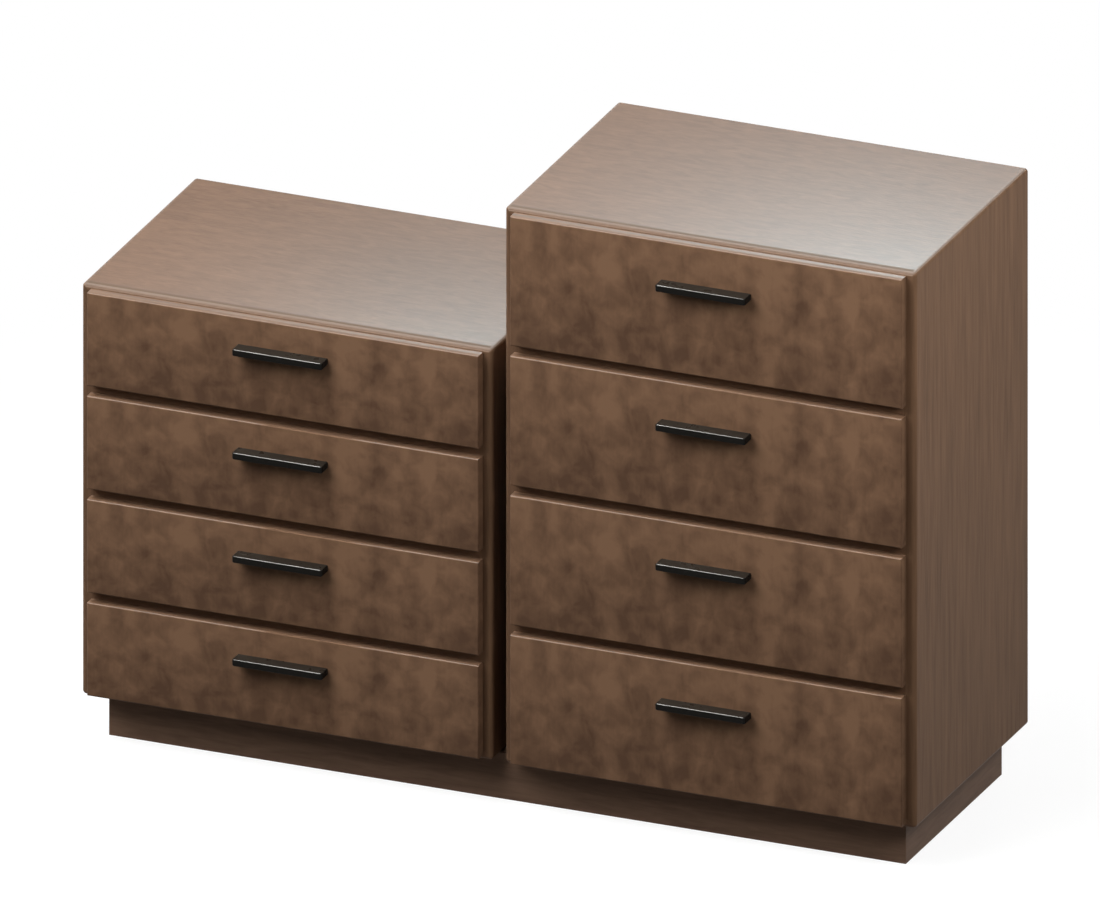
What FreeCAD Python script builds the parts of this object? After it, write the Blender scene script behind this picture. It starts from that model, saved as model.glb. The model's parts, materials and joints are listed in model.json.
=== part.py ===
import FreeCAD, Part
import math
import os
from collections import namedtuple
from FreeCAD import Placement, Rotation, Vector

os.makedirs("parts", exist_ok=True)

# Two chests of drawers, a low one on the left and a tall one on the right, stand side by
# side on one recessed plinth. Lengths are in millimetres. +X points right, +Y points to the
# back and +Z points up. The origin is on the floor, in the middle of the whole footprint.

# Cabinets
cabinet_width = 600.0
low_height = 602.0
tall_height = 814.0
carcass_depth = 397.0
cabinet_gap = 18.0
board = 19.0
edge_radius = 5.5
drawer_count = 4
largest_rounding = 0.45  # of the thickness of the piece it is on

# Corner joints of the carcasses: mitres with a loose spline
spline_thickness = 4.0
spline_width = 12.0
spline_inset = 11.0
spline_setback = 25.0
joint_gap = 0.1

# Back panels, let into a groove all round
back_thickness = 6.0
back_groove = 8.0
back_inset = 9.0
panel_gap = 0.3

# Web frames between the drawers: a front rail and two runners, housed in the sides
rail_height = 24.0
rail_depth = 60.0
runner_width = 45.0
housing_depth = 6.0
housing_setback = 12.0
tongue_thickness = 8.0
tongue_length = 8.0
runner_end_gap = 2.0

# Drawer fronts, laid over the face of the carcass
front_thickness = 16.0
front_radius = 2.0
front_gap = 15.0
end_reveal = 6.0
side_reveal = 14.0
closing_gap = 0.3

# Drawer boxes: dovetailed boards, with the bottom slid in under the back board
box_board = 12.0
box_side_gap = 1.0
box_lift = 0.3
box_headroom = 3.0
box_rear_gap = 12.0
back_board_drop = 6.0
tail_pitch = 37.0
tail_slope = 6.0
pin_width = 6.0
bottom_thickness = 6.0
bottom_groove = 6.0
bottom_rise = 9.0

# Handles: a bar with a finger scoop milled into its underside
handle_length = 132.0
handle_depth = 21.0
handle_height = 10.0
handle_radius = 2.0
handle_drop_low = 44.0
handle_drop_tall = 61.0
scoop_end = 28.0
scoop_lip = 5.0
scoop_back = 3.0
scoop_roof = 3.5
scoop_radius = 3.0

# Plinth
plinth_height = 67.0
plinth_board = 18.0
plinth_side_inset = 27.0
plinth_front_inset = 30.0
plinth_back_inset = 30.0
plinth_radius = 1.0
cross_rail_width = 60.0
cross_rail_thickness = 18.0
cross_rail_inset = 90.0
cross_rail_housing = 6.0
glue_block_leg = 45.0
glue_block_lift = 4.0


def around(middle, half):
    return middle - half, middle + half


def grown(span, amount):
    return span[0] - amount, span[1] + amount


Cabinet = namedtuple("Cabinet", "name centre_x height handle_drop")
cabinet_pitch = cabinet_width + cabinet_gap
cabinets = (
    Cabinet("low", -cabinet_pitch / 2, low_height, handle_drop_low),
    Cabinet("tall", cabinet_pitch / 2, tall_height, handle_drop_tall),
)

# Planes that follow from the dimensions, from front to back
whole_depth = handle_depth + front_thickness + closing_gap + carcass_depth
handle_face_y = -whole_depth / 2
front_face_y = handle_face_y + handle_depth
box_y0 = front_face_y + front_thickness
face_y = box_y0 + closing_gap
rear_y = face_y + carcass_depth
panel_y1 = rear_y - back_inset
panel_y0 = panel_y1 - back_thickness
box_y1 = panel_y0 - box_rear_gap
plinth_y = (face_y + plinth_front_inset, rear_y - plinth_back_inset)

inner_half_width = cabinet_width / 2 - board
box_half_width = inner_half_width - box_side_gap
plinth_x = around(0, cabinet_pitch / 2 + cabinet_width / 2 - plinth_side_inset)


# Shapes

same_plane = 1e-6


def block(x, y, z):
    return Part.makeBox(x[1] - x[0], y[1] - y[0], z[1] - z[0], Vector(x[0], y[0], z[0]))


def prism(corners, sweep):
    return Part.Face(Part.makePolygon(corners + corners[:1])).extrude(sweep)


def edges_at(shape, **place):
    # The edges that lie in every named plane, as in edges_at(shape, y=front, z=top).
    def lies_there(edge):
        return all(
            abs(getattr(vertex.Point, axis) - value) < same_plane
            for vertex in edge.Vertexes
            for axis, value in place.items()
        )
    return [edge for edge in shape.Edges if lies_there(edge)]


def cut_all(shape, tools):
    for tool in tools:
        shape = shape.cut(tool)
    return shape


def mitre_wedges(u, v, thickness, place, sweep):
    # Four trapezium prisms that divide a ring of boards at its mitres. u and v are the
    # outer limits of the ring, and place turns a pair of them into a point.
    spare = thickness / 2
    rings = []
    for amount in (spare, -thickness - spare):
        (u0, u1), (v0, v1) = grown(u, amount), grown(v, amount)
        rings.append([place(u0, v0), place(u1, v0), place(u1, v1), place(u0, v1)])
    outer, inner = rings
    return [
        prism([outer[i - 1], outer[i], inner[i], inner[i - 1]], sweep) for i in (1, 2, 3, 0)
    ]


def save(name, *solids):
    shape = solids[0] if len(solids) == 1 else Part.makeCompound(list(solids))
    shape.exportStep("parts/" + name + ".step")


# Heights in one cabinet. Drawers are numbered from the top.

def top_z(cabinet):
    return plinth_height + cabinet.height


def front_z(cabinet, number):
    bare = 2 * end_reveal + (drawer_count - 1) * front_gap
    height = (cabinet.height - bare) / drawer_count
    z1 = top_z(cabinet) - end_reveal - (number - 1) * (height + front_gap)
    return z1 - height, z1


def rail_z(cabinet, number):
    # The rail below a drawer lies behind the gap between two fronts.
    return around(front_z(cabinet, number)[0] - front_gap / 2, rail_height / 2)


def opening_z(cabinet, number):
    z0 = rail_z(cabinet, number)[1] if number < drawer_count else plinth_height + board
    z1 = rail_z(cabinet, number - 1)[0] if number > 1 else top_z(cabinet) - board
    return z0, z1


def box_z(cabinet, number):
    # All boxes of a cabinet are as high as its lowest opening allows.
    openings = [opening_z(cabinet, i + 1) for i in range(drawer_count)]
    height = min(z1 - z0 for z0, z1 in openings) - box_lift - box_headroom
    z0 = opening_z(cabinet, number)[0] + box_lift
    return z0, z0 + height


def handle_z(cabinet, number):
    return front_z(cabinet, number)[1] - cabinet.handle_drop


# Carcass

def mitre_spline(cabinet, side, end, gap=0.0):
    # side is -1 on the left and 1 on the right, end is -1 below and 1 above.
    corner_z = top_z(cabinet) - board if end > 0 else plinth_height + board
    corner = Vector(cabinet.centre_x + side * inner_half_width, 0, corner_z)
    mitre = Vector(side, 0, end).normalize()
    spline = block(
        around(0, spline_width / 2 + gap),
        grown((face_y + spline_setback, panel_y0 - spline_setback), gap),
        around(0, spline_thickness / 2 + gap),
    )
    spline.Placement = Placement(corner + mitre * spline_inset, Rotation(Vector(0, 0, 1), mitre))
    return spline


def mitre_splines(cabinet, gap=0.0):
    return [mitre_spline(cabinet, side, end, gap) for side in (-1, 1) for end in (-1, 1)]


def back_panel(cabinet, gap=0.0):
    return block(
        around(cabinet.centre_x, inner_half_width + back_groove + gap),
        grown((panel_y0, panel_y1), gap),
        grown((plinth_height + board, top_z(cabinet) - board), back_groove + gap),
    )


def housing(cabinet, number):
    return block(
        around(cabinet.centre_x, inner_half_width + housing_depth + joint_gap),
        (face_y + housing_setback - joint_gap, panel_y0),
        grown(rail_z(cabinet, number), joint_gap),
    )


def carcass_boards(cabinet):
    x = around(cabinet.centre_x, cabinet_width / 2)
    z = (plinth_height, top_z(cabinet))
    whole = block(x, (face_y, rear_y), z)
    whole = whole.makeFillet(min(edge_radius, largest_rounding * board), whole.Edges)
    inside = block(grown(x, -board), grown((face_y, rear_y), board), grown(z, -board))
    ring = cut_all(whole, [inside, back_panel(cabinet, panel_gap)])
    ring = cut_all(ring, mitre_splines(cabinet, joint_gap))
    wedges = mitre_wedges(
        x, z, board,
        lambda u, v: Vector(u, face_y - board, v),
        Vector(0, carcass_depth + 2 * board, 0),
    )
    bottom, right, top, left = [ring.common(wedge) for wedge in wedges]
    housings = [housing(cabinet, i + 1) for i in range(drawer_count - 1)]
    return bottom, cut_all(right, housings), top, cut_all(left, housings)


# Web frames

def tongue_z(cabinet, number):
    z0, z1 = rail_z(cabinet, number)
    return around((z0 + z1) / 2, tongue_thickness / 2)


def front_rail(cabinet, number):
    # The ends are notched, so the housings in the sides stop short of the face.
    z = rail_z(cabinet, number)
    y1 = face_y + rail_depth
    housed_half_width = inner_half_width + housing_depth
    show_wood = block(around(cabinet.centre_x, inner_half_width), (face_y, y1), z)
    housed = block(around(cabinet.centre_x, housed_half_width), (face_y + housing_setback, y1), z)
    groove = block(
        around(cabinet.centre_x, housed_half_width + joint_gap),
        (y1 - tongue_length - joint_gap, y1),
        grown(tongue_z(cabinet, number), joint_gap),
    )
    return show_wood.fuse(housed).removeSplitter().cut(groove)


def runner(cabinet, number, side):
    outer_x = cabinet.centre_x + side * (inner_half_width + housing_depth)
    inner_x = cabinet.centre_x + side * (inner_half_width - runner_width)
    x = (min(outer_x, inner_x), max(outer_x, inner_x))
    y0 = face_y + rail_depth
    body = block(x, (y0, panel_y0 - runner_end_gap), rail_z(cabinet, number))
    tongue = block(x, (y0 - tongue_length, y0), tongue_z(cabinet, number))
    return body.fuse(tongue).removeSplitter()


# Drawers

def drawer_front(cabinet, number):
    front = block(
        around(cabinet.centre_x, cabinet_width / 2 - side_reveal),
        (front_face_y, box_y0),
        front_z(cabinet, number),
    )
    rim = edges_at(front, y=front_face_y)
    return front.makeFillet(min(front_radius, largest_rounding * front_thickness), rim)


def drawer_bottom(cabinet, number, gap=0.0):
    z0 = box_z(cabinet, number)[0] + bottom_rise
    return block(
        around(cabinet.centre_x, box_half_width - box_board + bottom_groove + gap),
        grown((box_y0 + box_board - bottom_groove, box_y1), gap),
        grown((z0, z0 + bottom_thickness), gap),
    )


def tails(x, end_y, base_y, z, gap=0.0):
    # A row of dovetails, widest at their ends and narrowest at their base.
    count = max(2, round((z[1] - z[0]) / tail_pitch))
    pitch = (z[1] - z[0]) / count
    outwards = 1 if end_y > base_y else -1
    flare = abs(end_y - base_y) / tail_slope
    half_end = (pitch - pin_width) / 2 + gap
    y_end = end_y + outwards * gap
    y_base = base_y - outwards * gap
    row = []
    for i in range(count):
        middle = z[0] + (i + 0.5) * pitch
        corners = [
            Vector(x[0], y_end, middle - half_end),
            Vector(x[0], y_end, middle + half_end),
            Vector(x[0], y_base, middle + half_end - flare),
            Vector(x[0], y_base, middle - half_end + flare),
        ]
        row.append(prism(corners, Vector(x[1] - x[0], 0, 0)))
    return row


def box_boards(cabinet, number):
    x = around(cabinet.centre_x, box_half_width)
    z = box_z(cabinet, number)
    back_z = (z[0] + bottom_rise + bottom_thickness, z[1] - back_board_drop)
    groove = drawer_bottom(cabinet, number, panel_gap)
    joints = (
        (box_y0, box_y0 + box_board, z),
        (box_y1, box_y1 - box_board, back_z),
    )

    sides = []
    sockets = []
    for side_x in ((x[0], x[0] + box_board), (x[1] - box_board, x[1])):
        side = block(side_x, (box_y0, box_y1), z)
        for end_y, base_y, joint_z in joints:
            end_block = block(side_x, (min(end_y, base_y), max(end_y, base_y)), joint_z)
            side = side.cut(cut_all(end_block, tails(side_x, end_y, base_y, joint_z)))
            sockets += tails(side_x, end_y, base_y, joint_z, joint_gap)
        sides.append(side.cut(groove))

    inner_front = block(x, (box_y0, box_y0 + box_board), z)
    back = block(x, (box_y1 - box_board, box_y1), back_z)
    ends = [cut_all(end, sockets).cut(groove) for end in (inner_front, back)]
    return sides, ends


def handle(cabinet, number):
    x = around(cabinet.centre_x, handle_length / 2)
    z = around(handle_z(cabinet, number), handle_height / 2)
    bar = block(x, (handle_face_y, front_face_y), z)
    radius = min(handle_radius, largest_rounding * handle_height)
    long_edges = edges_at(bar, y=handle_face_y, z=z[0]) + edges_at(bar, y=handle_face_y, z=z[1])
    upright_edges = edges_at(bar, y=handle_face_y, x=x[0]) + edges_at(bar, y=handle_face_y, x=x[1])
    rounded = bar.makeFillet(radius, long_edges).common(bar.makeFillet(radius, upright_edges))
    scoop = block(
        grown(x, -scoop_end),
        (handle_face_y + scoop_lip, front_face_y - scoop_back),
        (z[0], z[1] - scoop_roof),
    )
    corners = [edge for edge in scoop.Edges if abs(edge.tangentAt(0).z) > 0.5]
    return rounded.cut(scoop.makeFillet(scoop_radius, corners))


# Plinth

def plinth_inside():
    return grown(plinth_x, -plinth_board), grown(plinth_y, -plinth_board)


def glue_block(corner_x, corner_y):
    # A three-cornered block in an inside corner of the plinth, under the cross rails and
    # clear of the floor.
    x_leg = -math.copysign(glue_block_leg, corner_x)
    y_leg = -math.copysign(glue_block_leg, corner_y - sum(plinth_y) / 2)
    corners = [
        Vector(corner_x, corner_y, glue_block_lift),
        Vector(corner_x + x_leg, corner_y, glue_block_lift),
        Vector(corner_x, corner_y + y_leg, glue_block_lift),
    ]
    height = plinth_height - cross_rail_thickness - glue_block_lift
    return prism(corners, Vector(0, 0, height))


def cross_rail_places():
    offset = cabinet_width / 2 - cross_rail_inset
    return [cabinet.centre_x + side * offset for cabinet in cabinets for side in (-1, 1)]


def cross_rail(x, gap=0.0):
    z = (plinth_height - cross_rail_thickness, plinth_height)
    y = grown(plinth_y, cross_rail_housing - plinth_board)
    return block(around(x, cross_rail_width / 2 + gap), grown(y, gap), grown(z, gap))


def plinth_boards():
    whole = block(plinth_x, plinth_y, (0, plinth_height))
    uprights = [
        edge for x in plinth_x for y in plinth_y for edge in edges_at(whole, x=x, y=y)
    ]
    whole = whole.makeFillet(plinth_radius, uprights)
    ring = whole.cut(block(*plinth_inside(), (0, plinth_height)))
    ring = cut_all(ring, [cross_rail(x, joint_gap) for x in cross_rail_places()])
    wedges = mitre_wedges(
        plinth_x, plinth_y, plinth_board,
        lambda u, v: Vector(u, v, 0),
        Vector(0, 0, plinth_height),
    )
    return [ring.common(wedge) for wedge in wedges]


# Every piece in its place

for cabinet in cabinets:
    bottom, right, top, left = carcass_boards(cabinet)
    save(cabinet.name + "_bottom", bottom)
    save(cabinet.name + "_top", top)
    save(cabinet.name + "_left_side", left)
    save(cabinet.name + "_right_side", right)
    save(cabinet.name + "_back", back_panel(cabinet))
    levels = range(1, drawer_count)
    save(cabinet.name + "_front_rails", *[front_rail(cabinet, i) for i in levels])
    save(
        cabinet.name + "_runners",
        *[runner(cabinet, i, side) for i in levels for side in (-1, 1)],
    )
    for number in range(1, drawer_count + 1):
        name = cabinet.name + "_drawer_" + str(number)
        sides, ends = box_boards(cabinet, number)
        save(name + "_front", drawer_front(cabinet, number))
        save(name + "_sides", *sides)
        save(name + "_ends", *ends)
        save(name + "_bottom", drawer_bottom(cabinet, number))
        save(name + "_handle", handle(cabinet, number))

plinth_front, plinth_right_end, plinth_back, plinth_left_end = plinth_boards()
save("plinth_front", plinth_front)
save("plinth_back", plinth_back)
save("plinth_ends", plinth_left_end, plinth_right_end)
save("plinth_cross_rails", *[cross_rail(x) for x in cross_rail_places()])
inside_x, inside_y = plinth_inside()
save("plinth_glue_blocks", *[glue_block(x, y) for x in inside_x for y in inside_y])
save("mitre_splines", *[spline for cabinet in cabinets for spline in mitre_splines(cabinet)])
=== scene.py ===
import json
import math

import bmesh
import bpy
from mathutils import Matrix, Vector

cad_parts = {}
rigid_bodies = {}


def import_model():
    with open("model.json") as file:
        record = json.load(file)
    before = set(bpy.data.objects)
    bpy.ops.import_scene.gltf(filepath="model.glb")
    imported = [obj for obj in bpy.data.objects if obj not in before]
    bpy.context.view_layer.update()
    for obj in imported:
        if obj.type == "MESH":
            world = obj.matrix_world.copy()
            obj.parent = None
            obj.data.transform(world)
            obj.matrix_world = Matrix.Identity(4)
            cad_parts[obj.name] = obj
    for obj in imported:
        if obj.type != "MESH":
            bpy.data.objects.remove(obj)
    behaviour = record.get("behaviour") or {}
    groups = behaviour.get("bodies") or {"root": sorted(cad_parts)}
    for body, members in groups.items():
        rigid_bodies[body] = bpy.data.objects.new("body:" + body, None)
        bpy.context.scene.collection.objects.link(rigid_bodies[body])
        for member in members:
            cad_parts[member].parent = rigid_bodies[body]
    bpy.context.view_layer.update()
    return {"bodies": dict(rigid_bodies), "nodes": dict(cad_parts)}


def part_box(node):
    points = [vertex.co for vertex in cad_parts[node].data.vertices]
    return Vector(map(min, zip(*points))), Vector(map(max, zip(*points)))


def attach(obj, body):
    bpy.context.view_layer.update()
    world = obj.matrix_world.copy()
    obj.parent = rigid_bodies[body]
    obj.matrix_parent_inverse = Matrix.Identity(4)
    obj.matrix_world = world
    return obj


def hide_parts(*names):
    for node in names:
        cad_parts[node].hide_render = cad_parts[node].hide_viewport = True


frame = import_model()
cadNodes = frame["nodes"]
drawers = sorted(body for body in frame["bodies"] if "_drawer_" in body)
print("frame:", len(cadNodes), "nodes and", len(drawers), "drawers")


# Shader building

def addNode(material, kind, inputs=None, **settings):
    node = material.node_tree.nodes.new(kind)
    for setting, value in settings.items():
        setattr(node, setting, value)
    for socket, value in (inputs or {}).items():
        node.inputs[socket].default_value = value
    return node


def link(material, output, socket):
    material.node_tree.links.new(output, socket)


def newMaterial(name, **shaderInputs):
    material = bpy.data.materials.new(name)
    material.use_nodes = True
    shader = material.node_tree.nodes["Principled BSDF"]
    for socket, value in shaderInputs.items():
        shader.inputs[socket.replace("_", " ")].default_value = value
    return material, shader


def patternSpace(material, stretch=(1, 1, 1), centre=(0, 0, 0)):
    # object coordinates measured from centre, each axis scaled by stretch
    place = addNode(material, "ShaderNodeTexCoord")
    shift = [-c * s for c, s in zip(centre, stretch)]
    mapping = addNode(material, "ShaderNodeMapping", {"Location": shift, "Scale": stretch})
    link(material, place.outputs["Object"], mapping.inputs["Vector"])
    return mapping.outputs["Vector"]


def noise(material, space, scale, detail=3.0, roughness=0.5, distortion=0.0):
    values = {"Scale": scale, "Detail": detail, "Roughness": roughness, "Distortion": distortion}
    texture = addNode(material, "ShaderNodeTexNoise", values)
    link(material, space, texture.inputs["Vector"])
    return texture.outputs["Fac"]


def weighted(material, parts):
    # the sum of each value times its weight
    total = 0.0
    for value, weight in parts:
        step = addNode(material, "ShaderNodeMath", {1: weight, 2: 0.0}, operation="MULTIPLY_ADD")
        link(material, value, step.inputs[0])
        if total:
            link(material, total, step.inputs[2])
        total = step.outputs[0]
    return total


def remap(material, value, low, high, newLow=0.0, newHigh=1.0, smooth=False):
    limits = {"From Min": low, "From Max": high, "To Min": newLow, "To Max": newHigh}
    kind = "SMOOTHSTEP" if smooth else "LINEAR"
    node = addNode(material, "ShaderNodeMapRange", limits, interpolation_type=kind)
    link(material, value, node.inputs["Value"])
    return node.outputs["Result"]


def mixColours(material, factor, first, second):
    # each colour is three numbers or the output of another node
    node = addNode(material, "ShaderNodeMix", data_type="RGBA")
    link(material, factor, node.inputs[0])
    for socket, colour in ((node.inputs[6], first), (node.inputs[7], second)):
        if isinstance(colour, bpy.types.NodeSocket):
            link(material, colour, socket)
        else:
            socket.default_value = (*colour, 1)
    return node.outputs[2]


def product(material, first, second):
    node = addNode(material, "ShaderNodeMath", operation="MULTIPLY")
    link(material, first, node.inputs[0])
    link(material, second, node.inputs[1])
    return node.outputs[0]


def mixValues(material, factor, first, second):
    # first is the output of another node
    node = addNode(material, "ShaderNodeMix", data_type="FLOAT")
    link(material, factor, node.inputs[0])
    link(material, first, node.inputs[2])
    node.inputs[3].default_value = second
    return node.outputs[0]


def addBump(material, shader, height, depth, strength=1.0):
    bump = addNode(material, "ShaderNodeBump", {"Strength": strength, "Distance": depth})
    link(material, height, bump.inputs["Height"])
    link(material, bump.outputs["Normal"], shader.inputs["Normal"])


def facing(material, axis, low=0.8, high=0.95):
    # 1 on the faces that look along axis, 0 on the others
    place = addNode(material, "ShaderNodeTexCoord")
    parts = addNode(material, "ShaderNodeSeparateXYZ")
    link(material, place.outputs["Normal"], parts.inputs[0])
    size = addNode(material, "ShaderNodeMath", operation="ABSOLUTE")
    link(material, parts.outputs["XYZ".index(axis)], size.inputs[0])
    return remap(material, size.outputs[0], low, high)


def pastEdge(material, low, high):
    # how far a point lies outside the rectangle from low to high, below 0 inside it
    half = (high - low) / 2
    size = addNode(material, "ShaderNodeVectorMath", operation="ABSOLUTE")
    link(material, patternSpace(material, (1, 1, 0), (low + high) / 2), size.inputs[0])
    past = addNode(material, "ShaderNodeVectorMath", operation="SUBTRACT")
    link(material, size.outputs["Vector"], past.inputs[0])
    past.inputs[1].default_value = (half.x, half.y, 0)
    parts = addNode(material, "ShaderNodeSeparateXYZ")
    link(material, past.outputs["Vector"], parts.inputs[0])
    larger = addNode(material, "ShaderNodeMath", operation="MAXIMUM")
    link(material, parts.outputs["X"], larger.inputs[0])
    link(material, parts.outputs["Y"], larger.inputs[1])
    return larger.outputs[0]


def alongAxis(axis, along):
    # a stretch of along on one axis, which draws a pattern out if it is below 1
    return tuple(along if name == axis else 1.0 for name in "XYZ")


# Finishes

frontVeneer = {
    "dark": (0.097, 0.053, 0.032),
    "light": (0.208, 0.118, 0.069),
    "edging": (0.140, 0.082, 0.053),
    "roughness": 0.42,
    "edgingRoughness": 0.52,
    "outerRoughness": 0.85,
    "outerReach": (0.0, -0.004),
    "specular": 0.035,
    "patternHeight": 0.16,
    "blotchScale": 39.0,
    "blotchLength": 0.92,
    "blotchDistortion": 0.35,
    "blotchWeight": 0.55,
    "bandScale": 17.0,
    "bandLength": 0.12,
    "bandWeight": 0.38,
    "fleckScale": 240.0,
    "fleckLength": 0.12,
    "fleckWeight": 0.07,
    # painted shade: how much darker each front gets towards its bottom
    "paintedLowerShade": 0.17,
    "toneRange": (0.35, 0.65),
    "lineScale": 160.0,
    "lineLength": 0.06,
    "lineRange": (0.3, 0.7),
    "bumpDepth": 0.0001,
}


def mottledVeneer(name, node):
    # burr-like blotches over soft upright bands, drawn to the height of the front, with painted
    # shade that darkens each front towards its bottom
    look = frontVeneer
    low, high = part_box(node)
    centre = (low + high) / 2
    upright = math.sqrt(look["patternHeight"] / (high.z - low.z))
    material, shader = newMaterial(name, Specular_IOR_Level=look["specular"])
    blotches = noise(
        material, patternSpace(material, (1, 1, look["blotchLength"] * upright), centre),
        look["blotchScale"], distortion=look["blotchDistortion"],
    )
    bands = noise(
        material, patternSpace(material, (1, 1, look["bandLength"] * upright), centre),
        look["bandScale"], detail=2.0,
    )
    fleckSpace = patternSpace(material, (1, 1, look["fleckLength"]), centre)
    flecks = noise(material, fleckSpace, look["fleckScale"])
    place = addNode(material, "ShaderNodeSeparateXYZ")
    link(material, patternSpace(material, (1, 1, 1), centre), place.inputs[0])
    # the tone carries painted shade that is darker towards the bottom of each front
    tone = weighted(material, [
        (blotches, look["blotchWeight"]),
        (bands, look["bandWeight"]),
        (flecks, look["fleckWeight"]),
        (place.outputs["Z"], look["paintedLowerShade"] / (high.z - low.z)),
    ])
    factor = remap(material, tone, *look["toneRange"])
    face = mixColours(material, factor, look["dark"], look["light"])

    # the upper and lower edges carry a plain strip with its grain lengthwise
    lineSpace = patternSpace(material, (look["lineLength"], 1, 1), centre)
    lines = noise(material, lineSpace, look["lineScale"])
    factor = remap(material, lines, *look["lineRange"])
    edging = mixColours(material, factor, look["edging"], look["light"])
    onEdge = facing(material, "Z")
    link(material, mixColours(material, onEdge, face, edging), shader.inputs["Base Color"])
    rough = remap(material, onEdge, 0.0, 1.0, look["roughness"], look["edgingRoughness"])
    if node.endswith("_1_front"):
        # the outer half of the uppermost fronts' edges is duller
        outer = remap(material, place.outputs["Y"], *look["outerReach"])
        rough = weighted(material, [
            (rough, 1.0),
            (product(material, onEdge, outer), look["outerRoughness"] - look["edgingRoughness"]),
        ])
    link(material, rough, shader.inputs["Roughness"])
    addBump(material, shader, flecks, look["bumpDepth"])
    return material


uprightLook = {
    "dark": (0.118, 0.066, 0.038),
    "light": (0.205, 0.115, 0.066),
    "along": 0.06,
    "streakScale": 105.0,
    "waviness": 0.2,
    "roughness": 0.42,
    "specular": 0.025,
}

# painted shade: a darker copy of the upright veneer for the left side boards
leftUprightPaintedShade = {
    **uprightLook,
    "dark": (0.104, 0.059, 0.0353),
    "light": (0.180, 0.102, 0.0614),
}

lyingLook = {
    "dark": (0.130, 0.072, 0.043),
    "light": (0.198, 0.110, 0.065),
    "along": 0.26,
    "streakScale": 110.0,
    "waviness": 0.8,
    "roughness": 0.42,
    "specular": 0.04,
}

topLook = {
    **lyingLook,
    # painted shade: the darker colour of the border along the front of a top
    "paintedShadeBorder": (0.124, 0.073, 0.041),
    "borderRoughness": 0.85,
    "topReach": (0.005, 0.08),
    "borderReach": (0.0135, 0.0065),
    # painted highlight: the lighter colour of the rounded arris; its higher roughness is wear
    "arrisWearAndHighlight": (0.190, 0.125, 0.088),
    "arrisRoughness": 0.66,
    "arrisReach": (-0.0048, -0.0028),
    # painted highlight: the lightest colour, on the outer part of the rounding
    "lipPaintedHighlight": (0.275, 0.185, 0.132),
    "lipReach": (-0.00055, -0.00012),
}

plinthVeneer = {
    "dark": (0.129, 0.078, 0.053),
    "light": (0.226, 0.137, 0.092),
    "along": 0.12,
    "streakScale": 80.0,
    "waviness": 0.8,
    "roughness": 0.5,
    "specular": 0.05,
}

# painted shade: a darker copy of the plinth veneer for the plinth ends
plinthEndPaintedShade = {
    **plinthVeneer,
    "dark": (0.105, 0.063, 0.0425),
    "light": (0.184, 0.111, 0.074),
}

backVeneer = {
    "dark": (0.105, 0.062, 0.038),
    "light": (0.172, 0.103, 0.063),
    "along": 0.08,
    "streakScale": 75.0,
    "waviness": 0.3,
    "roughness": 0.6,
    "specular": 0.05,
}


streakPattern = {
    "streakWeight": 0.62,
    "streakRoughness": 0.55,
    "fineScale": 350.0,
    "fineWeight": 0.2,
    "slowScale": 6.0,
    "slowLength": 0.5,
    "slowWeight": 0.18,
    "toneRange": (0.3, 0.7),
    "lineScale": 110.0,
    "lineLength": 0.5,
    "lineRange": (0.66, 0.76),
    "lineStrength": 0.45,
    "bumpDepth": 0.0002,
}


def edgeFinish(material, look, board, colour):
    # a duller border with painted shade (a darker colour) along the front of a top, and a worn,
    # rougher arris painted lighter all round as a painted highlight, lightest at its outer lip
    low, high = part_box(board)
    onTop = facing(material, "Z", *look["topReach"])
    fromFront = addNode(material, "ShaderNodeSeparateXYZ")
    link(material, patternSpace(material, (1, 1, 1), low), fromFront.inputs[0])
    reach = remap(material, fromFront.outputs["Y"], *look["borderReach"], smooth=True)
    paintedShadeBorder = product(material, reach, onTop)
    colour = mixColours(material, paintedShadeBorder, colour, look["paintedShadeBorder"])
    rough = remap(material, paintedShadeBorder, 0.0, 1.0, look["roughness"], look["borderRoughness"])
    past = pastEdge(material, low, high)
    arrisWearAndHighlight = product(material, remap(material, past, *look["arrisReach"]), onTop)
    lipPaintedHighlight = product(material, remap(material, past, *look["lipReach"]), onTop)
    colour = mixColours(material, arrisWearAndHighlight, colour, look["arrisWearAndHighlight"])
    colour = mixColours(material, lipPaintedHighlight, colour, look["lipPaintedHighlight"])
    return colour, mixValues(material, arrisWearAndHighlight, rough, look["arrisRoughness"])


def straightVeneer(name, look, axis, board=None):
    # fine streaks that run along axis, with sparse darker lines and slow changes of tone
    pattern = streakPattern
    material, shader = newMaterial(
        name, Roughness=look["roughness"], Specular_IOR_Level=look["specular"]
    )
    grain = patternSpace(material, alongAxis(axis, look["along"]))
    streaks = noise(
        material, grain, look["streakScale"],
        roughness=pattern["streakRoughness"], distortion=look["waviness"],
    )
    fine = noise(material, grain, pattern["fineScale"], detail=2.0)
    slowSpace = patternSpace(material, alongAxis(axis, pattern["slowLength"]))
    slow = noise(material, slowSpace, pattern["slowScale"], detail=2.0)
    tone = weighted(material, [
        (streaks, pattern["streakWeight"]),
        (fine, pattern["fineWeight"]),
        (slow, pattern["slowWeight"]),
    ])
    factor = remap(material, tone, *pattern["toneRange"])
    wood = mixColours(material, factor, look["dark"], look["light"])
    lineSpace = patternSpace(material, alongAxis(axis, pattern["lineLength"] * look["along"]))
    lines = noise(material, lineSpace, pattern["lineScale"], detail=2.0)
    factor = remap(
        material, lines, *pattern["lineRange"], 0.0, pattern["lineStrength"], smooth=True
    )
    colour = mixColours(material, factor, wood, look["dark"])
    if board:
        colour, rough = edgeFinish(material, look, board, colour)
        link(material, rough, shader.inputs["Roughness"])
    link(material, colour, shader.inputs["Base Color"])
    addBump(material, shader, fine, pattern["bumpDepth"])
    return material


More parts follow.
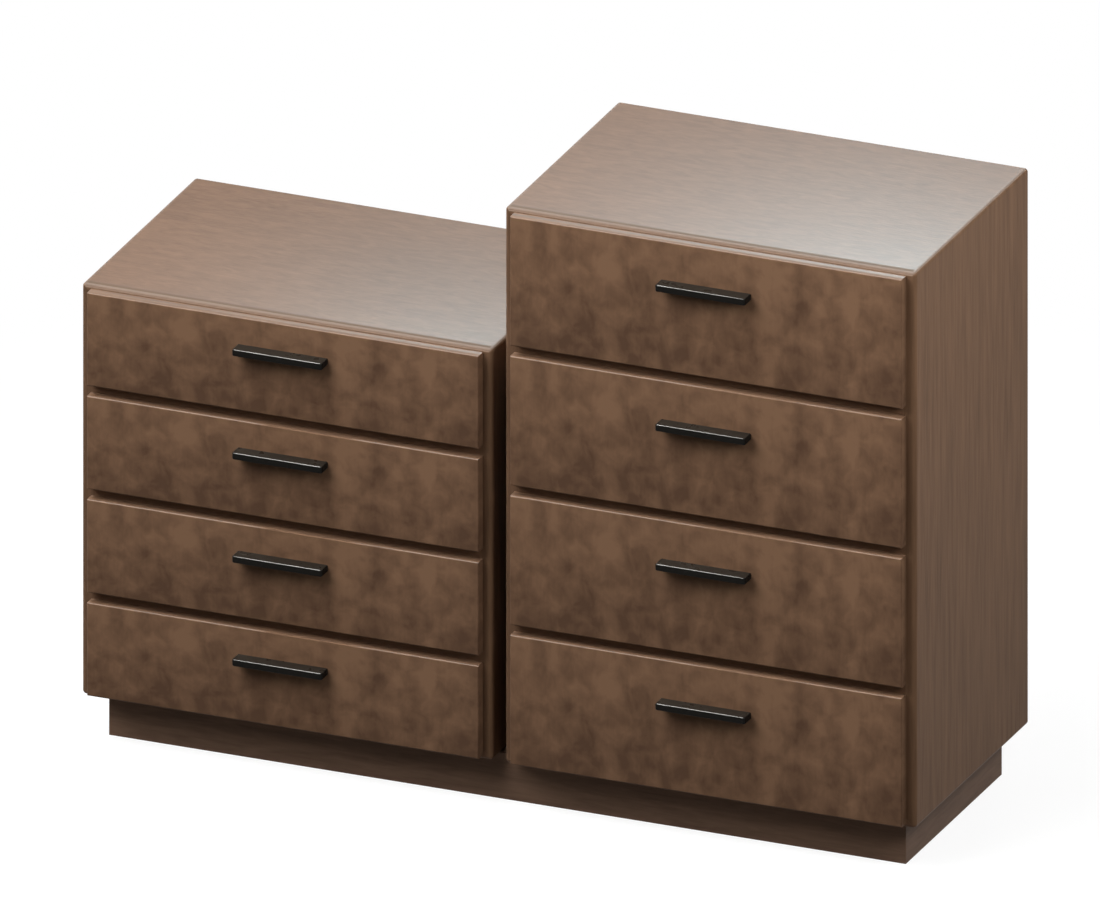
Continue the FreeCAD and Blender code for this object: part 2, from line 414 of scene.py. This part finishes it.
drawerWood = {
    "early": (0.62, 0.45, 0.27),
    "late": (0.50, 0.34, 0.19),
    "end": (0.33, 0.215, 0.115),
    "roughness": 0.5,
    "ringScale": 24.0,
}

frameWood = {
    "early": (0.54, 0.39, 0.24),
    "late": (0.42, 0.29, 0.17),
    "end": (0.34, 0.23, 0.13),
    "roughness": 0.65,
    "ringScale": 18.0,
}


ringPattern = {
    "heart": (0.03, 0.02, -0.06),
    "ringLength": 0.15,
    "ringDistortion": 7.0,
    "ringDetail": 2.0,
    "ringDetailScale": 0.8,
    "ringWeight": 0.2,
    "poreScale": 420.0,
    "poreLength": 0.04,
    "poreWeight": 0.45,
    "slowScale": 9.0,
    "slowLength": 0.3,
    "slowWeight": 0.55,
    "toneRange": (0.35, 0.85),
    "specular": 0.15,
    "bumpDepth": 0.0002,
}


def solidWood(name, look, axis):
    # growth rings about a heart below the board, which show as arcs on the end grain
    pattern = ringPattern
    material, shader = newMaterial(
        name, Roughness=look["roughness"], Specular_IOR_Level=pattern["specular"]
    )
    ringWaves = addNode(
        material, "ShaderNodeTexWave",
        {
            "Scale": look["ringScale"], "Distortion": pattern["ringDistortion"],
            "Detail": pattern["ringDetail"], "Detail Scale": pattern["ringDetailScale"],
        },
        wave_type="RINGS", rings_direction=axis, wave_profile="SAW",
    )
    ringSpace = patternSpace(material, alongAxis(axis, pattern["ringLength"]), pattern["heart"])
    link(material, ringSpace, ringWaves.inputs["Vector"])
    poreSpace = patternSpace(material, alongAxis(axis, pattern["poreLength"]))
    pores = noise(material, poreSpace, pattern["poreScale"])
    slowSpace = patternSpace(material, alongAxis(axis, pattern["slowLength"]))
    slow = noise(material, slowSpace, pattern["slowScale"], detail=2.0)
    tone = weighted(material, [
        (ringWaves.outputs["Fac"], pattern["ringWeight"]),
        (pores, pattern["poreWeight"]),
        (slow, pattern["slowWeight"]),
    ])
    factor = remap(material, tone, *pattern["toneRange"])
    wood = mixColours(material, factor, look["early"], look["late"])
    wood = mixColours(material, facing(material, axis), wood, look["end"])
    link(material, wood, shader.inputs["Base Color"])
    addBump(material, shader, pores, pattern["bumpDepth"])
    return material


panelPly = {
    "face": (0.60, 0.45, 0.28),
    "faceDark": (0.50, 0.36, 0.21),
    "glueLine": (0.25, 0.16, 0.09),
    "roughness": 0.55,
    "specular": 0.3,
    "streakScale": 90.0,
    "streakLength": 0.05,
    "streakRange": (0.35, 0.65),
    "plyThickness": 0.0012,
    "plyRange": (0.3, 0.7),
    "bumpDepth": 0.0001,
}


def plywood(name):
    look = panelPly
    material, shader = newMaterial(
        name, Roughness=look["roughness"], Specular_IOR_Level=look["specular"]
    )
    grain = patternSpace(material, alongAxis("X", look["streakLength"]))
    streaks = noise(material, grain, look["streakScale"], detail=4.0)
    factor = remap(material, streaks, *look["streakRange"])
    face = mixColours(material, factor, look["faceDark"], look["face"])
    # the texture's bands are pi / 10 apart at a scale of 1
    waves = math.pi / (10 * look["plyThickness"])
    plies = addNode(material, "ShaderNodeTexWave", {"Scale": waves}, bands_direction="Z")
    link(material, patternSpace(material), plies.inputs["Vector"])
    factor = remap(material, plies.outputs["Fac"], *look["plyRange"])
    edge = mixColours(material, factor, look["glueLine"], look["face"])
    colour = mixColours(material, facing(material, "Z"), edge, face)
    link(material, colour, shader.inputs["Base Color"])
    addBump(material, shader, streaks, look["bumpDepth"])
    return material


pullCoat = {
    "colour": (0.0080, 0.0074, 0.0066),
    "worn": (0.0088, 0.0081, 0.0072),
    # painted light: the colour of the upper faces, lighter as if lit from above
    "paintedTopLight": (0.0230, 0.0185, 0.0145),
    "tint": (1.0, 0.94, 0.86),
    "specular": 0.042,
    "cloudScale": 60.0,
    "colourRange": (0.35, 0.7),
    "paintedTopReach": (0.7, 0.95),
    "roughnessRange": (0.3, 0.7),
    "roughness": (0.27, 0.29),
    "peelScale": 900.0,
    "peelDepth": 0.00001,
    "peelStrength": 0.05,
}


def blackCoat(name):
    # satin black powder coat with a very fine orange-peel surface, its upper faces painted
    # lighter as painted light from above
    look = pullCoat
    material, shader = newMaterial(
        name, Specular_IOR_Level=look["specular"], Specular_Tint=(*look["tint"], 1)
    )
    peel = noise(material, patternSpace(material), look["peelScale"], detail=2.0)
    cloud = noise(material, patternSpace(material), look["cloudScale"])
    factor = remap(material, cloud, *look["colourRange"])
    coat = mixColours(material, factor, look["colour"], look["worn"])
    # painted light on the upward faces
    onTop = facing(material, "Z", *look["paintedTopReach"])
    link(material, mixColours(material, onTop, coat, look["paintedTopLight"]), shader.inputs["Base Color"])
    rough = remap(material, cloud, *look["roughnessRange"], *look["roughness"])
    link(material, rough, shader.inputs["Roughness"])
    addBump(material, shader, peel, look["peelDepth"], look["peelStrength"])
    return material


zincPlate = {
    "bright": (0.66, 0.66, 0.64),
    "dull": (0.48, 0.48, 0.46),
    "cloudScale": 700.0,
    "colourRange": (0.35, 0.65),
    "roughnessRange": (0.3, 0.7),
    "roughness": (0.32, 0.44),
}


def zinc(name):
    look = zincPlate
    material, shader = newMaterial(name, Metallic=1.0)
    cloud = noise(material, patternSpace(material), look["cloudScale"])
    factor = remap(material, cloud, *look["colourRange"])
    colour = mixColours(material, factor, look["dull"], look["bright"])
    link(material, colour, shader.inputs["Base Color"])
    rough = remap(material, cloud, *look["roughnessRange"], *look["roughness"])
    link(material, rough, shader.inputs["Roughness"])
    return material


# Finishes on the construction's own pieces

def dress(node, material):
    mesh = cadNodes[node].data
    mesh.materials.clear()
    mesh.materials.append(material)


rightVeneer = straightVeneer("carcass veneer upright", uprightLook, "Z")
leftVeneerPaintedShade = straightVeneer("carcass veneer upright left", leftUprightPaintedShade, "Z")
lyingVeneer = straightVeneer("carcass veneer lying", lyingLook, "X")
for cabinet in ("low", "tall"):
    dress(cabinet + "_left_side", leftVeneerPaintedShade)
    dress(cabinet + "_right_side", rightVeneer)
    for board in ("_bottom", "_front_rails"):
        dress(cabinet + board, lyingVeneer)
    top = cabinet + "_top"
    dress(top, straightVeneer(top + " veneer", topLook, "X", top))

backPanelVeneer = straightVeneer("back panel veneer", backVeneer, "Z")
plinthLong = straightVeneer("plinth veneer lengthwise", plinthVeneer, "X")
plinthAcrossPaintedShade = straightVeneer("plinth veneer across", plinthEndPaintedShade, "Y")
frameAcross = solidWood("frame wood front to back", frameWood, "Y")
frameUpright = solidWood("frame wood upright", frameWood, "Z")
plainDress = {
    "low_back": backPanelVeneer,
    "tall_back": backPanelVeneer,
    "low_runners": frameAcross,
    "tall_runners": frameAcross,
    "plinth_front": plinthLong,
    "plinth_back": plinthLong,
    "plinth_ends": plinthAcrossPaintedShade,
    "plinth_cross_rails": frameAcross,
    "plinth_glue_blocks": frameUpright,
    "mitre_splines": frameAcross,
}
for node, material in plainDress.items():
    dress(node, material)

boxSideWood = solidWood("drawer wood front to back", drawerWood, "Y")
boxEndWood = solidWood("drawer wood across", drawerWood, "X")
bottomPly = plywood("drawer bottom plywood")
for drawer in drawers:
    dress(drawer + "_front", mottledVeneer(drawer + " front veneer", drawer + "_front"))
    dress(drawer + "_sides", boxSideWood)
    dress(drawer + "_ends", boxEndWood)
    dress(drawer + "_bottom", bottomPly)
print("finishes:", len(bpy.data.materials), "materials")


# New pieces

closeBy = 1e-5
cutTolerance = 1e-7
cornerAngle = 0.3
smoothAngle = math.radians(35)


def toPiece(shape, name, material, body):
    bmesh.ops.recalc_face_normals(shape, faces=shape.faces)
    mesh = bpy.data.meshes.new(name)
    shape.to_mesh(mesh)
    shape.free()
    mesh.materials.append(material)
    piece = bpy.data.objects.new(name, mesh)
    bpy.context.scene.collection.objects.link(piece)
    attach(piece, body)
    return piece


def smoothShading(piece):
    for polygon in piece.data.polygons:
        polygon.use_smooth = True
    piece.data.set_sharp_from_angle(angle=smoothAngle)


def cutAcross(shape, point, normal):
    geometry = shape.verts[:] + shape.edges[:] + shape.faces[:]
    bmesh.ops.bisect_plane(
        shape, geom=geometry, dist=cutTolerance, plane_co=point, plane_no=normal
    )


def cornerEdges(shape, test):
    # the edges between faces that meet at a real corner, and whose middle passes the test
    return [
        edge for edge in shape.edges
        if len(edge.link_faces) == 2 and edge.calc_face_angle() > cornerAngle
        and test((edge.verts[0].co + edge.verts[1].co) / 2)
    ]


def roundEdges(shape, edges, radius, segments):
    bmesh.ops.bevel(
        shape, geom=edges, offset=radius, offset_type="OFFSET", affect="EDGES",
        segments=segments, profile=0.5, material=-1, clamp_overlap=True,
    )


pullShape = {
    "cornerRadius": 0.0034,
    "edgeRadius": 0.002,
    "edgeSegments": 6,
    "scoopEnd": 0.028,
    "scoopLip": 0.005,
    "scoopBack": 0.003,
    "scoopRoof": 0.0035,
    "scoopRadius": 0.0008,
    "scoopSegments": 2,
}


def makePull(drawer, material):
    # a bar with a finger scoop milled into its underside
    look = pullShape
    low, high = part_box(drawer + "_handle")
    shape = bmesh.new()
    bmesh.ops.create_cube(shape, size=1)
    bmesh.ops.scale(shape, vec=high - low, verts=shape.verts)
    bmesh.ops.translate(shape, vec=(low + high) / 2, verts=shape.verts)

    scoopLow = Vector((low.x + look["scoopEnd"], low.y + look["scoopLip"], low.z))
    scoopHigh = Vector((
        high.x - look["scoopEnd"], high.y - look["scoopBack"], high.z - look["scoopRoof"]
    ))
    for corner in (scoopLow, scoopHigh):
        cutAcross(shape, corner, (1, 0, 0))
        cutAcross(shape, corner, (0, 1, 0))
    shape.faces.ensure_lookup_table()
    middle = (scoopLow + scoopHigh) / 2
    middle.z = low.z
    mouth = min(shape.faces, key=lambda face: (face.calc_center_median() - middle).length)
    roof = bmesh.ops.extrude_discrete_faces(shape, faces=[mouth])["faces"][0]
    bmesh.ops.translate(shape, vec=(0, 0, scoopHigh.z - low.z), verts=roof.verts)

    def onScoop(point):
        inX = scoopLow.x - closeBy < point.x < scoopHigh.x + closeBy
        inY = scoopLow.y - closeBy < point.y < scoopHigh.y + closeBy
        return inX and inY and point.z < scoopHigh.z + closeBy

    def onOutside(point):
        return not onScoop(point) and point.y < high.y - closeBy

    def onCorner(point):
        atEnd = min(point.x - low.x, high.x - point.x) < closeBy
        return atEnd and point.y < low.y + closeBy and low.z < point.z < high.z

    roundEdges(shape, cornerEdges(shape, onCorner), look["cornerRadius"], look["edgeSegments"])
    roundEdges(shape, cornerEdges(shape, onOutside), look["edgeRadius"], look["edgeSegments"])
    roundEdges(shape, cornerEdges(shape, onScoop), look["scoopRadius"], look["scoopSegments"])
    pull = toPiece(shape, drawer + "_pull", material, drawer)
    smoothShading(pull)
    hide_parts(drawer + "_handle")


screwShape = {
    "headRadius": 0.004,
    "headHeight": 0.0024,
    "headSegments": 32,
    "headTaper": 0.92,
    "rimRadius": 0.0011,
    "rimSegments": 4,
    "crossHalfWidth": 0.0005,
    "crossReach": 0.0023,
    "crossDepth": 0.0013,
    "pullSpacing": 0.096,
}


def addScrewHead(shape, place):
    # a domed head with a cross recess, looking along the local Z of place
    look = screwShape
    head = bmesh.new()
    bmesh.ops.create_cone(
        head, cap_ends=True, segments=look["headSegments"], depth=look["headHeight"],
        radius1=look["headRadius"], radius2=look["headTaper"] * look["headRadius"],
    )
    bmesh.ops.translate(head, vec=(0, 0, look["headHeight"] / 2), verts=head.verts)
    rim = cornerEdges(head, lambda point: point.z > look["headHeight"] - closeBy)
    roundEdges(head, rim, look["rimRadius"], look["rimSegments"])
    for normal in (Vector((1, 0, 0)), Vector((0, 1, 0))):
        for offset in (look["crossReach"], look["crossHalfWidth"]):
            cutAcross(head, normal * offset, normal)
            cutAcross(head, normal * -offset, normal)

    def inCross(face):
        middle = face.calc_center_median()
        near, far = sorted((abs(middle.x), abs(middle.y)))
        onTop = middle.z > look["headHeight"] - closeBy
        return onTop and near < look["crossHalfWidth"] and far < look["crossReach"]

    recess = [face for face in head.faces if inCross(face)]
    raised = bmesh.ops.extrude_face_region(head, geom=recess)["geom"]
    bmesh.ops.delete(head, geom=recess, context="FACES")
    floor = [item for item in raised if isinstance(item, bmesh.types.BMVert)]
    bmesh.ops.translate(head, vec=(0, 0, -look["crossDepth"]), verts=floor)
    bmesh.ops.transform(head, matrix=place, verts=head.verts)
    single = bpy.data.meshes.new("screw head")
    head.to_mesh(single)
    head.free()
    shape.from_mesh(single)
    bpy.data.meshes.remove(single)


def makePullScrews(drawer, material):
    # two machine screws through the inner front into the pull
    pullLow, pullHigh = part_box(drawer + "_handle")
    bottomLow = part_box(drawer + "_bottom")[0]
    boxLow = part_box(drawer + "_sides")[0]
    # the groove that holds the bottom is half as deep as the inner front is thick
    innerFace = boxLow.y + 2 * (bottomLow.y - boxLow.y)
    middle = (pullLow + pullHigh) / 2
    shape = bmesh.new()
    for side in (-1, 1):
        point = Vector((middle.x + side * screwShape["pullSpacing"] / 2, innerFace, middle.z))
        addScrewHead(shape, Matrix.Translation(point) @ Matrix.Rotation(-math.pi / 2, 4, "X"))
    screws = toPiece(shape, drawer + "_pull_screws", material, drawer)
    smoothShading(screws)


carcassScrews = {"railInset": 0.09, "fromMiddle": 0.12}


def makeCarcassScrews(cabinet, material):
    # screws up through the two cross rails of the plinth under a cabinet
    boardLow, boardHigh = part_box(cabinet + "_bottom")
    railLow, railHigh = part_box("plinth_cross_rails")
    middle = (boardLow.x + boardHigh.x) / 2
    railOffset = (boardHigh.x - boardLow.x) / 2 - carcassScrews["railInset"]
    railMiddle = (railLow.y + railHigh.y) / 2
    shape = bmesh.new()
    for xSide in (-1, 1):
        for ySide in (-1, 1):
            point = Vector((
                middle + xSide * railOffset,
                railMiddle + ySide * carcassScrews["fromMiddle"],
                railLow.z,
            ))
            addScrewHead(shape, Matrix.Translation(point) @ Matrix.Rotation(math.pi, 4, "X"))
    screws = toPiece(shape, cabinet + "_plinth_screws", material, "carcass")
    smoothShading(screws)


pullMaterial = blackCoat("black satin coat")
screwMaterial = zinc("zinc plate")
for drawer in drawers:
    makePull(drawer, pullMaterial)
    makePullScrews(drawer, screwMaterial)
for cabinet in ("low", "tall"):
    makeCarcassScrews(cabinet, screwMaterial)
print("pulls and screws:", 2 * len(drawers) + 2, "pieces")


# Studio

studio = {
    "floorSize": 40.0,
    "floorColour": 0.20,
    "floorLift": 0.85,
    "liftReach": (-0.004, 0.0),
    "floorBounce": 0.08,
    "shadowReach": (0.8, 1.7),
    "ambient": 0.12,
}


def mixShaders(material, factor, first, second):
    mix = addNode(material, "ShaderNodeMixShader")
    link(material, factor, mix.inputs[0])
    for socket, shader in ((mix.inputs[1], first), (mix.inputs[2], second)):
        output = shader if isinstance(shader, bpy.types.NodeSocket) else shader.outputs[0]
        link(material, output, socket)
    return mix.outputs[0]


def seenDirectly(tree):
    # 1 for the camera, reflections and clear materials, 0 for light that bounces
    paths = tree.nodes.new("ShaderNodeLightPath")
    total = None
    for ray in ("Is Camera Ray", "Is Glossy Ray", "Is Transmission Ray"):
        step = tree.nodes.new("ShaderNodeMath")
        step.operation = "ADD"
        step.use_clamp = True
        tree.links.new(paths.outputs[ray], step.inputs[0])
        if total:
            tree.links.new(total, step.inputs[1])
        else:
            step.inputs[1].default_value = 0
        total = step.outputs[0]
    return total


def makeFloor():
    shape = bmesh.new()
    bmesh.ops.create_grid(shape, x_segments=1, y_segments=1, size=studio["floorSize"] / 2)
    mesh = bpy.data.meshes.new("floor")
    shape.to_mesh(mesh)
    shape.free()
    floor = bpy.data.objects.new("floor", mesh)
    bpy.context.scene.collection.objects.link(floor)

    # near the object a lit floor that takes its shadow, further out plain white
    material = bpy.data.materials.new("studio floor")
    material.use_nodes = True
    tree = material.node_tree
    tree.nodes.remove(tree.nodes["Principled BSDF"])
    surface = tree.nodes["Material Output"].inputs["Surface"]
    place = addNode(material, "ShaderNodeTexCoord")
    distance = addNode(material, "ShaderNodeVectorMath", operation="LENGTH")
    link(material, place.outputs["Object"], distance.inputs[0])
    far = remap(material, distance.outputs["Value"], *studio["shadowReach"], smooth=True)

    def matt(grey):
        return addNode(material, "ShaderNodeBsdfDiffuse", {"Color": (grey, grey, grey, 1)})

    bounce = matt(studio["floorBounce"])
    lit = matt(studio["floorColour"])
    lift = addNode(material, "ShaderNodeEmission")
    past = pastEdge(material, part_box("plinth_front")[0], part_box("plinth_back")[1])
    strength = remap(material, past, *studio["liftReach"], 0.0, studio["floorLift"])
    link(material, strength, lift.inputs["Strength"])
    near = addNode(material, "ShaderNodeAddShader")
    link(material, lit.outputs[0], near.inputs[0])
    link(material, lift.outputs[0], near.inputs[1])
    white = addNode(material, "ShaderNodeEmission", {"Strength": 1.0})
    link(
        material,
        mixShaders(material, seenDirectly(tree), bounce, mixShaders(material, far, near, white)),
        surface,
    )
    mesh.materials.append(material)


def makeWorld():
    world = bpy.data.worlds.new("studio")
    bpy.context.scene.world = world
    world.use_nodes = True
    tree = world.node_tree
    tree.nodes.clear()
    output = tree.nodes.new("ShaderNodeOutputWorld")
    choose = tree.nodes.new("ShaderNodeMixShader")
    tree.links.new(seenDirectly(tree), choose.inputs[0])
    for socket, strength in ((1, studio["ambient"]), (2, 1.0)):
        background = tree.nodes.new("ShaderNodeBackground")
        background.inputs["Color"].default_value = (1, 1, 1, 1)
        background.inputs["Strength"].default_value = strength
        tree.links.new(background.outputs[0], choose.inputs[socket])
    tree.links.new(choose.outputs[0], output.inputs["Surface"])


softboxes = {
    "key": {
        "target": (0.2, 0, 0.6), "towards": (-0.46, -0.476, 0.749),
        "distance": 5.6, "size": (4.4, 4.4), "power": 405.0,
    },
    "overhead": {
        "target": (-0.1, 0, 0.75), "towards": (-0.424, -0.149, 0.893),
        "distance": 1.75, "size": (1.4, 1.2), "power": 17.4,
    },
    "right fill": {
        "target": (0.6, 0.05, 0.6), "towards": (0.749, 0.391, 0.534),
        "distance": 1.535, "size": (0.84, 0.84), "power": 10.4,
    },
    "front fill": {
        "target": (0.4, -0.1, 0.6), "towards": (0.71, -0.431, 0.557),
        "distance": 1.83, "size": (0.74, 0.74), "power": 15.9,
    },
    "back fill": {
        "target": (0, 0.2, 0.45), "towards": (-0.2, 1.0, 0.05),
        "distance": 2.2, "size": (1.2, 0.8), "power": 18.0,
    },
    "rim": {
        "target": (0, 0, 0.5), "towards": (-0.37, -0.14, 0.92),
        "distance": 6.0, "size": (1.0, 1.0), "power": 4900.0, "colour": (0.93, 0.98, 1.0),
        "reflectedOnly": True,
    },
    "low sheen": {
        "target": (-0.348, -0.425, 0.669), "towards": (-0.075, 0.732, 0.678),
        "distance": 1.95, "size": (0.4, 0.4), "power": 228.0, "colour": (0.62, 0.90, 1.0),
        "reflectedOnly": True, "shinesOn": ("low_top", "low_drawer_1_front"),
    },
    "tall sheen": {
        "target": (0.66, -0.823, 0.881), "towards": (-0.245, 0.756, 0.607),
        "distance": 2.7, "size": (0.4, 0.4), "power": 575.0, "colour": (0.68, 0.92, 1.0),
        "reflectedOnly": True, "shinesOn": ("tall_top", "tall_drawer_1_front"),
    },
}


def makeSoftbox(name, look):
    lamp = bpy.data.lights.new(name, "AREA")
    lamp.shape = "RECTANGLE"
    lamp.size, lamp.size_y = look["size"]
    lamp.energy = look["power"]
    lamp.color = look.get("colour", (1, 1, 1))
    softbox = bpy.data.objects.new(name, lamp)
    bpy.context.scene.collection.objects.link(softbox)
    towards = Vector(look["towards"]).normalized()
    softbox.location = Vector(look["target"]) + look["distance"] * towards
    softbox.rotation_euler = towards.to_track_quat("Z", "Y").to_euler()
    softbox.visible_diffuse = not look.get("reflectedOnly", False)
    if "shinesOn" in look:
        lit = bpy.data.collections.new(name + " shines on")
        for piece in look["shinesOn"]:
            lit.objects.link(bpy.data.objects[piece])
        softbox.light_linking.receiver_collection = lit


cameraLook = {
    "target": (-0.0001, -0.0002, 0.4406),
    "towards": (1.0, -2.4, 1.1),
    "distance": 6.0,
    "pictureWidth": 1.483,
    "clipEnd": 60.0,
}


def makeCamera():
    look = cameraLook
    lens = bpy.data.cameras.new("camera")
    lens.type = "ORTHO"
    lens.ortho_scale = look["pictureWidth"]
    lens.clip_end = look["clipEnd"]
    camera = bpy.data.objects.new("camera", lens)
    bpy.context.scene.collection.objects.link(camera)
    towards = Vector(look["towards"]).normalized()
    camera.location = Vector(look["target"]) + look["distance"] * towards
    camera.rotation_euler = towards.to_track_quat("Z", "Y").to_euler()
    bpy.context.scene.camera = camera


makeFloor()
makeWorld()
for name, look in softboxes.items():
    makeSoftbox(name, look)
makeCamera()
bpy.context.scene.view_settings.view_transform = "Standard"
print("studio:", len(softboxes), "softboxes")
